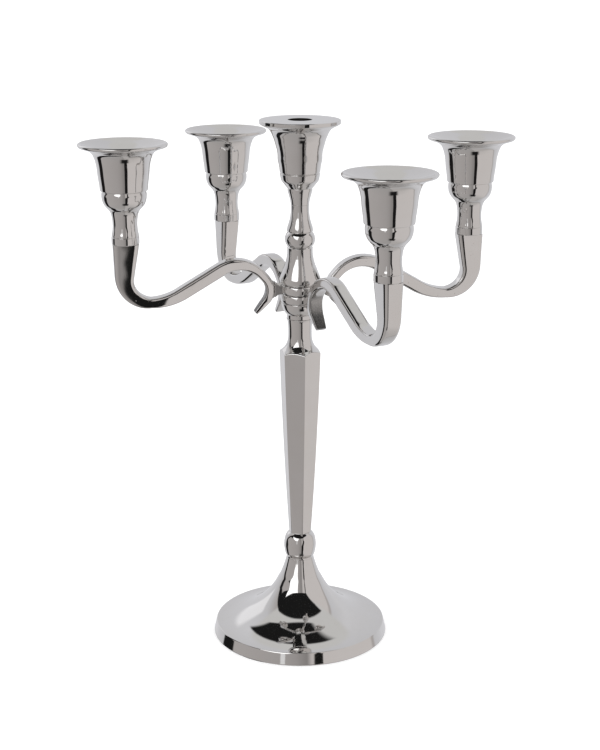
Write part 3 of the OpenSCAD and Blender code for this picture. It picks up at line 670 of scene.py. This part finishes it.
def arm_nickel():
    """The arms' nickel: the hollow of the hook shows the grain of the casting through the plate, and painted
    shade darkens it deeper in.
    """
    material = polished_nickel("polished_nickel_arm", polish=0.04, waviness=1.2, pits=0.6)
    tree = material.node_tree
    shader = tree.nodes["Principled BSDF"]
    depth = tree.nodes.new("ShaderNodeAttribute")
    depth.attribute_name = "hook_hollow_skin_and_shade"
    depth = depth.outputs["Fac"]
    inside = ranged(tree, depth, 0.02, 0.12, 0.0, 1.0)
    bright = shader.inputs["Roughness"].links[0].from_socket
    smooth = shader.inputs["Normal"].links[0].from_socket
    plated = shader.inputs["Base Color"].links[0].from_socket
    place = tree.nodes.new("ShaderNodeTexCoord").outputs["Object"]
    grain = noise(tree, place, 1100, 4.0, 0.6)
    dull = ranged(tree, grain, 0.3, 0.7, 0.28, 0.45)
    tree.links.new(mixed(tree, inside, bright, dull, "FLOAT"), shader.inputs["Roughness"])
    # painted shade: the plate in the hollow is painted darker and grainier towards the tail
    painted_shade_depth = calc(tree, "ADD", depth, ranged(tree, grain, 0.3, 0.7, -0.22, 0.22))
    shade = mixed(tree, ranged(tree, painted_shade_depth, 0.25, 0.95, 0.0, 1.0), HOLLOW_SKIN, HOLLOW_PAINTED_SHADE)
    tree.links.new(mixed(tree, inside, plated, shade), shader.inputs["Base Color"])
    grit = calc(tree, "MULTIPLY", grain, inside)
    # the hand-ground sides are a few degrees out of square with the line of the arm
    ground = tree.nodes.new("ShaderNodeAttribute")
    ground.attribute_name = "ground"
    skew = tree.nodes.new("ShaderNodeVectorTransform")
    skew.vector_type, skew.convert_from, skew.convert_to = "VECTOR", "OBJECT", "WORLD"
    tree.links.new(ground.outputs["Vector"], skew.inputs["Vector"])
    skewed = vector_math(tree, "NORMALIZE", vector_math(tree, "ADD", smooth, skew.outputs["Vector"]))
    tree.links.new(bumped(tree, grit, 0.00012, 0.6, skewed), shader.inputs["Normal"])
    return material


nickel_arm = arm_nickel()
SIDE_LEAN = {"left": -0.12, "right": 0.08, "front": -0.04, "back": 0.0}
ARMS = (("front", "lower_arms"), ("back", "lower_arms"), ("right", "upper_arms"), ("left", "upper_arms"))


def side_lean(side, t):
    """How far an arm's ground sides lean outwards from square, at t from the tail (0) to the seat (1).
    The left arm's elbow is ground square."""
    return SIDE_LEAN[side] * (min(max((0.72 - t) / 0.1, 0), 1) if side == "left" else 1)


HOLLOW_FADES = 12
pad_side = [(LUG_REACH, 1.5 - PAD_H), (hook[0], -PAD_H), (hook[0], PAD_H), (LUG_REACH, PAD_H - 1.5)]
for side, body in ARMS:
    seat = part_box("spool_" + side)[0].z
    turn = arm_direction("cup_" + side)
    place = Matrix.Translation((0, 0, seat - ARM_RISE * MM)) @ Matrix.Rotation(turn, 4, "Z")
    count = len(arm_line)
    path = bpy.data.meshes.new("arm_" + side)
    path.from_pydata([place @ Vector((x * MM, 0, z * MM)) for x, z, t, w in arm_line],
                     [(i, i + 1) for i in range(count - 1)], [])
    spots = np.array([place @ Vector((x * MM, 0, z * MM)) for x, z, t, w in arm_line])
    flat_line = np.array([(x, z) for x, z, t, w in arm_line])
    along = np.gradient(flat_line, axis=0)
    along[-1] = (0, 1)
    along /= np.linalg.norm(along, axis=1)[:, None]
    axes = place.to_3x3()
    across = np.array([axes @ Vector((d[1], 0, -d[0])) for d in along])
    sideways = np.array([axes @ Vector((0, 1, 0))] * count)
    outwards = np.array(axes @ Vector((1, 0, 0)))
    skewed = np.outer([side_lean(side, i / (count - 1)) for i in range(count)], outwards)
    # the hollow's cast skin and its painted shade fade out a few steps past the tail
    in_hook = [max(1.0 - i / (tail_count + HOLLOW_FADES), 0.0) for i in range(count)]
    for label, kind, values in (("spot", "FLOAT_VECTOR", spots), ("across", "FLOAT_VECTOR", across),
                                ("aside", "FLOAT_VECTOR", sideways),
                                ("thickness", "FLOAT", [p[2] * MM for p in arm_line]),
                                ("width", "FLOAT", [p[3] * MM for p in arm_line]),
                                ("ground", "FLOAT_VECTOR", skewed), ("in_hook", "FLOAT", in_hook)):
        layer = path.attributes.new(label, kind, "POINT")
        layer.data.foreach_set("vector" if kind == "FLOAT_VECTOR" else "value",
                               np.array(values, np.float32).ravel())
    arm = bpy.data.objects.new("arm_%s_casting" % side, path)
    bpy.context.scene.collection.objects.link(arm)
    grown(arm, arm_sweep, section_points=64, edge_sharpness=0.34, finish=nickel_arm)
    arm.data.shade_smooth()
    arm.data.set_sharp_from_angle(angle=math.radians(50))
    points, faces = [], []
    plate_between(pad_side, LUG_W / 2, place, points, faces)
    pad = mesh_piece("arm_%s_pad" % side, points, faces, [nickel_cast], softness=0.0012, rounding=3)
    for piece in (arm, pad):
        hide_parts("arm_" + side)
        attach(piece, body)

# Spools and side cups. Turned from castings: a waisted spool with a band at
# its foot stands on each arm, and carries a cup with a groove, a flared rim
# and a shallow dish down to the straight candle socket, which is dark inside.
SPOOL_H, SPOOL_WAIST, SPOOL_BAND, BAND_H = 31.5, 11.5, 12.6, 6.6
CUP_H, RIM_R, CUP_BODY, CUP_FOOT, SOCKET_R, SOCKET_D = 60.0, 40.4, 22.0, 14.2, 11.0, 30.0
STUD_HOLE, STUD_DEPTH = 2.55, 9.3
w, h = SPOOL_WAIST, SPOOL_H
spool_outline = ([(SPOOL_BAND - 0.4, 0), (SPOOL_BAND, 0.6), (SPOOL_BAND, BAND_H),
                  (SPOOL_BAND - 0.4, BAND_H + 0.3)]
                 + flowing([(SPOOL_BAND - 0.2, BAND_H + 0.6), (w + 0.75, BAND_H + 2.2), (w + 0.3, BAND_H + 4.4),
                            (w - 0.1, BAND_H + 7), (w - 0.35, h / 2 + 2), (w - 0.1, h - 9), (w + 0.6, h - 4.6),
                            (CUP_FOOT - 1.1, h - 1.8), (CUP_FOOT, h)], 8)
                 + [(STUD_HOLE, h), (STUD_HOLE, 0)])
b, h, groove, funnel_z = CUP_BODY, CUP_H, 17.0, CUP_H - 15.5
cup_outside = (flowing([(CUP_FOOT, 0), (b - 5.6, 2.4), (b - 3.6, 5), (b - 2.2, 8.5), (b - 1.7, 11.5),
                        (b - 1.6, 13.4), (b - 1.75, 15), (b - 2.1, groove - 0.7)], 8)
               + [(b - 2.3, groove - 0.2), (b - 2.3, groove + 0.2), (b - 0.7, groove + 0.6)]
               + flowing([(b - 0.5, groove + 1.2), (b, groove + 6), (b + 1.2, h - 28), (b + 1.9, h - 21),
                          (b + 2.8, h - 16.5), (b + 4, h - 12.7), (b + 5.6, h - 9.4), (b + 8.6, h - 6.7),
                          (RIM_R - 5, h - 4.7), (RIM_R - 1.7, h - 3.7), (RIM_R - 0.6, h - 3.0), (RIM_R, h - 1.7),
                          (RIM_R - 0.4, h - 0.6), (RIM_R - 1.5, h)], 8))
cup_inside = flowing([(RIM_R - 2.2, h - 0.05), (RIM_R - 3.4, h - 0.6), (RIM_R - 6.4, h - 1.9),
                      (RIM_R - 12.4, h - 4.2), (SOCKET_R + 11.2, h - 6.7), (SOCKET_R + 6.2, h - 8.9),
                      (SOCKET_R + 2.7, h - 10.8), (SOCKET_R + 0.7, h - 13), (SOCKET_R, funnel_z)], 8)
cup_outline = cup_outside + cup_inside + [(SOCKET_R, funnel_z - SOCKET_D), (0, funnel_z - SOCKET_D)]
stud_well = [(0, STUD_DEPTH), (STUD_HOLE, STUD_DEPTH), (STUD_HOLE, 0)]
# the candle sockets are coloured near black and left dull inside
sooty_socket = cast_skin("sooty_socket", shade=(0.05, 0.048, 0.045), lighter=(0.08, 0.077, 0.073))
for side, body in ARMS:
    low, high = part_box("cup_" + side)
    axis = ((low.x + high.x) / 2, (low.y + high.y) / 2)
    finish = polished_nickel("polished_nickel_%s_cup" % side, axis=axis)
    spool_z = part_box("spool_" + side)[0].z
    spool = turned("spool_%s_turned" % side, spool_outline, (*axis, spool_z), [finish], segments=128)
    cup = turned("cup_%s_turned" % side, cup_outline + stud_well, (*axis, low.z), [finish, sooty_socket],
                 dull_from=len(cup_outside + cup_inside) - 1)
    for piece, node in ((spool, "spool_" + side), (cup, "cup_" + side)):
        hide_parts(node)
        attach(piece, body)

# Centre stem, neck and cup. Three turned castings stacked on the collar and
# held down by the tie rod; the cup ends in a flat disc with the candle's hole.
STEM_H, STEM_FOOT, STEM_BEAD, STEM_WAIST, STEM_NECK_H, FLANGE = 74.1, 19.0, 14.0, 8.4, 15.5, 11.4
CENTRE_H, DISC_R, DISC_T, CENTRE_BODY, CENTRE_SOCKET_D = 61.9, 37.1, 3.3, 20.5, 30.0
f, w, bead_z = STEM_FOOT, STEM_WAIST, 42.3
stem_outline = (flowing([(f - 2.2, 0), (f - 0.6, 1.8), (f, 5.2), (f - 0.8, 8), (f - 3.4, 14.5), (f - 5.4, 20),
                         (f - 6.8, 26), (f - 7.2, 31), (f - 7.1, 34.4)], 8)
                + arc(STEM_BEAD - 10, bead_z, 10, -44, 44, 24)
                + flowing([(w + 3.7, bead_z + 7.6), (w + 3.4, bead_z + 10.4), (w + 1.9, bead_z + 15.4),
                           (w + 0.7, bead_z + 20), (w, bead_z + 26), (w, STEM_H)], 8)
                + [(ROD_HOLE, STEM_H), (ROD_HOLE, 0)])
h = STEM_NECK_H
neck_outline = (flowing([(w, 0), (w + 0.5, h / 4), (w + 1.5, h / 2), (FLANGE - 0.5, h - 4), (FLANGE, h - 2.4)], 8)
                + [(FLANGE, h - 0.3), (FLANGE - 0.3, h), (ROD_HOLE, h), (ROD_HOLE, 0)])
b, groove, under = CENTRE_BODY, 13.9, CENTRE_H - DISC_T
centre_outside = (flowing([(FLANGE + 0.3, 0), (b - 6, 3.5), (b - 3.4, 7), (b - 2.5, 10.8),
                           (b - 2.2, groove - 0.7)], 8)
                  + [(b - 2.9, groove - 0.2), (b - 2.9, groove + 0.2), (b - 2.1, groove + 0.6)]
                  + flowing([(b - 2, groove + 1), (b - 1.6, 18.5), (b - 1, 22), (b - 0.2, 26), (b, 31.5),
                             (b + 0.9, 36), (b + 2, 40), (b + 3.1, 43.8), (b + 4.5, 47.3), (b + 6.2, 51),
                             (b + 9.2, 54.4), (DISC_R - 2, under - 1.4)], 8)
                  + [(DISC_R - 0.3, under - 0.3), (DISC_R, under), (DISC_R, CENTRE_H - 0.4),
                     (DISC_R - 0.6, CENTRE_H), (SOCKET_R, CENTRE_H)])
socket_floor, rod_end = CENTRE_H - CENTRE_SOCKET_D, 12.3
centre_outline = centre_outside + [(SOCKET_R, socket_floor), (0, socket_floor), (0, rod_end), (ROD_HOLE, rod_end),
                                   (ROD_HOLE, 0)]
stem = turned("centre_stem_turned", stem_outline, (0, 0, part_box("centre_stem")[0].z), [nickel_middle])
stem_neck = turned("centre_neck_turned", neck_outline, (0, 0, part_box("centre_neck")[0].z), [nickel_middle])
centre_cup = turned("centre_cup_turned", centre_outline, (0, 0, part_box("centre_cup")[0].z),
                    [nickel_middle, sooty_socket], dull_from=len(centre_outside) - 1)
for piece, node in ((stem, "centre_stem"), (stem_neck, "centre_neck"), (centre_cup, "centre_cup")):
    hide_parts(node)
    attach(piece, "stand")

# Studio. A plain pale table, a soft white tent with a darker room in front of
# it, one soft lamp overhead and the camera, a little above the cups' rims.
VIEW_TURN = math.radians(-9.1)
CAMERA_AWAY, CAMERA_UP, CAMERA_DOWN, TABLE_HALF = 1.423, 0.669, 16.03, 60
table = bpy.data.meshes.new("table_top")
table.from_pydata([(x * TABLE_HALF, y * TABLE_HALF, 0) for x, y in ((-1, -1), (1, -1), (1, 1), (-1, 1))],
                  [], [(0, 1, 2, 3)])
floor = bpy.data.objects.new("table_top", table)
bpy.context.scene.collection.objects.link(floor)
paper = bpy.data.materials.new("white_paper")
paper.use_nodes = True
for key, value in (("Base Color", (0.93, 0.93, 0.935, 1)), ("Roughness", 0.9), ("Emission Color", (1, 1, 1, 1)),
                   ("Emission Strength", 0.22)):
    paper.node_tree.nodes["Principled BSDF"].inputs[key].default_value = value
table.materials.append(paper)
floor.visible_glossy = False

world = bpy.data.worlds.new("tent")
world.use_nodes = True
bpy.context.scene.world = world
tent = world.node_tree
level = tent.nodes.new("ShaderNodeMapping")
level.vector_type = "VECTOR"
level.inputs["Rotation"].default_value = (0, 0, -VIEW_TURN)
tent.links.new(tent.nodes.new("ShaderNodeTexCoord").outputs["Generated"], level.inputs["Vector"])
parts = tent.nodes.new("ShaderNodeSeparateXYZ")
tent.links.new(level.outputs["Vector"], parts.inputs["Vector"])
right, away, height = (parts.outputs[i] for i in range(3))
front = calc(tent, "MULTIPLY", away, -1.0)
# compass turn from the front, to the right, and height above the horizon, both in degrees
turn = calc(tent, "DEGREES", calc(tent, "ARCTAN2", right, front))
lift = calc(tent, "DEGREES", calc(tent, "ARCSINE", height))
# where a ray meets the ceiling, in room heights to the right and to the front
roof = calc(tent, "MAXIMUM", height, 0.02)
roof_right, roof_front = calc(tent, "DIVIDE", right, roof), calc(tent, "DIVIDE", front, roof)


def above(value, edge, soft):
    """1 where value is above edge, 0 below it, with a soft change between."""
    m = tent.nodes.new("ShaderNodeMapRange")
    m.interpolation_type = "SMOOTHSTEP"
    tent.links.new(value, m.inputs["Value"])
    for key, side in (("From Min", -soft), ("From Max", soft)):
        if isinstance(edge, (int, float)):
            m.inputs[key].default_value = edge + side
        else:
            tent.links.new(calc(tent, "ADD", edge, side), m.inputs[key])
    return m.outputs["Result"]


def below(value, edge, soft):
    return calc(tent, "SUBTRACT", 1.0, above(value, edge, soft))


def joined(kind, masks):
    whole = masks[0]
    for mask in masks[1:]:
        whole = calc(tent, kind, whole, mask)
    return whole


def all_of(*masks):
    return joined("MULTIPLY", masks)


def any_of(*masks):
    return joined("MAXIMUM", masks)


def slanted(start, slope, value):
    return calc(tent, "ADD", calc(tent, "MULTIPLY", value, slope), start)


WARM, COOL, BLACK = (1.045, 0.99, 0.975), (0.99, 0.99, 1.03), (0.012, 0.012, 0.012)
walls = tent.nodes.new("ShaderNodeValToRGB")
stops = walls.color_ramp.elements
wall_bands = [(-180, 0.66, COOL), (-165, 0.72, COOL), (-150, 0.76, COOL), (-118, 0.68, COOL), (-96, 0.47, WARM),
              (-55, 0.45, WARM), (-20, 0.42, WARM), (-5, 0.38, WARM), (9, 0.28, WARM), (15, 0.60, WARM),
              (26, 0.66, WARM), (48, 0.66, WARM), (106, 0.67, WARM), (109, 0.48, WARM), (112, 0.48, WARM),
              (115, 0.68, COOL), (140, 0.76, COOL), (180, 0.66, COOL)]
while len(stops) < len(wall_bands):
    stops.new(0.5)
for stop, (angle, bright, tint) in zip(stops, wall_bands):
    stop.position = (angle + 180) / 360
    stop.color = (*(bright * t for t in tint), 1)
tent.links.new(slanted(0.5, 1 / 360, turn), walls.inputs["Fac"])
room = walls.outputs["Color"]
# brighter panels behind on the left, the diffuser overhead, and the dull underside of the table
panels = all_of(above(turn, -157, 3), below(turn, -126, 3), above(lift, 9, 3), below(lift, 34, 3))
room = mixed(tent, panels, room, (1.0, 1.0, 1.03))
room = mixed(tent, above(lift, 46, 3), room, (0.68, 0.675, 0.67))
room = mixed(tent, calc(tent, "MULTIPLY", below(lift, -50, 14), 0.6), room, (0.42, 0.41, 0.405))
# black: a flag on each side of the camera, the right one on a foot
flag_middle = slanted(-104, 0.45, lift)
left_flag = all_of(above(turn, calc(tent, "SUBTRACT", flag_middle, ranged(tent, lift, -12, -5, 9.0, 6.0)), 1.5),
                   below(turn, calc(tent, "ADD", flag_middle, ranged(tent, lift, -12, -5, 17.0, 6.0)), 1.5),
                   below(lift, 44, 2))
right_from = calc(tent, "ADD", ranged(tent, lift, -9, 2, 11.0, 20.5), ranged(tent, lift, 22, 34, 0.0, 4.0))
right_to = calc(tent, "SUBTRACT", ranged(tent, lift, -9, 2, 25.0, 31.5), ranged(tent, lift, 4, 10, 0.0, 4.0))
right_flag = all_of(above(turn, right_from, 1.5), below(turn, right_to, 0.8), below(lift, 44, 2),
                    above(lift, -52, 1))
flag_foot = all_of(above(turn, -4, 9), below(turn, 32, 7), above(lift, -53, 2), below(lift, -42, 3))
roof_bow = calc(tent, "MULTIPLY", roof_right, roof_right)


def bowed(amount):
    """The way to the front along the roof, bowed at both sides."""
    return calc(tent, "ADD", roof_front, calc(tent, "MULTIPLY", roof_bow, amount))


# black too: the dark room over the camera and on its left, and the gap in the tent's roof
dark_room = all_of(above(lift, ranged(tent, turn, -36, -14, 28.0, 38.5), 1.0), above(roof_front, 0.03, 0.03),
                   above(bowed(0.3), 0.23, 0.03), above(turn, -91, 2),
                   below(roof_right, ranged(tent, roof_front, 0.4, 1.0, 0.82, 0.64), 0.05))
side_room = all_of(above(turn, calc(tent, "SUBTRACT", flag_middle, 6.0), 1.5),
                   below(turn, slanted(-28, -1.1, lift), 1.5), above(lift, 28, 1.5), below(lift, 50, 2))
back_gap = all_of(above(lift, 40, 4), below(bowed(1.2), 0.14, 0.03), above(bowed(0.9), -0.59, 0.04),
                  above(roof_right, -0.62, 0.05), below(roof_right, 0.27, 0.06))
room = mixed(tent, any_of(left_flag, right_flag, flag_foot, dark_room, side_room, back_gap), room, BLACK)
# the softbox, a little left of the camera, and the strip of light under it
softbox = all_of(above(turn, slanted(-24, -1.1, lift), 1.2), below(turn, slanted(-18, 0.2, lift), 1.0),
                 above(lift, 9, 1.5), below(lift, 38, 1.0))
room = mixed(tent, softbox, room, (1.7, 1.7, 1.72))
strip = all_of(above(turn, -25, 1.0), below(turn, -19, 1.0), above(lift, -3, 1.5), below(lift, 8, 1.5))
room = mixed(tent, strip, room, (0.85, 0.85, 0.86))
# only the metal sees this room; the table is lit evenly by the tent
in_mirror = tent.nodes.new("ShaderNodeLightPath").outputs["Is Glossy Ray"]
tent.links.new(mixed(tent, in_mirror, (1.10, 1.10, 1.10), room), tent.nodes["Background"].inputs["Color"])

lamp = bpy.data.lights.new("overhead_soft", "AREA")
lamp.shape, lamp.size, lamp.energy = "DISK", 1.2, 3.0
light = bpy.data.objects.new("overhead_soft", lamp)
bpy.context.scene.collection.objects.link(light)
light.location = (-0.5, -0.6, 2.2)
light.rotation_euler = (Vector((0, 0, 0.3)) - light.location).to_track_quat("-Z", "Y").to_euler()
light.visible_glossy = False

lens = bpy.data.cameras.new("camera")
lens.lens = 75.26
lens.sensor_width = 36.0
camera = bpy.data.objects.new("camera", lens)
bpy.context.scene.collection.objects.link(camera)
camera.location = (CAMERA_AWAY * math.sin(VIEW_TURN), -CAMERA_AWAY * math.cos(VIEW_TURN), CAMERA_UP)
camera.rotation_euler = (math.radians(90 - CAMERA_DOWN), 0, VIEW_TURN)
bpy.context.scene.camera = camera
bpy.context.scene.view_settings.view_transform = "Standard"
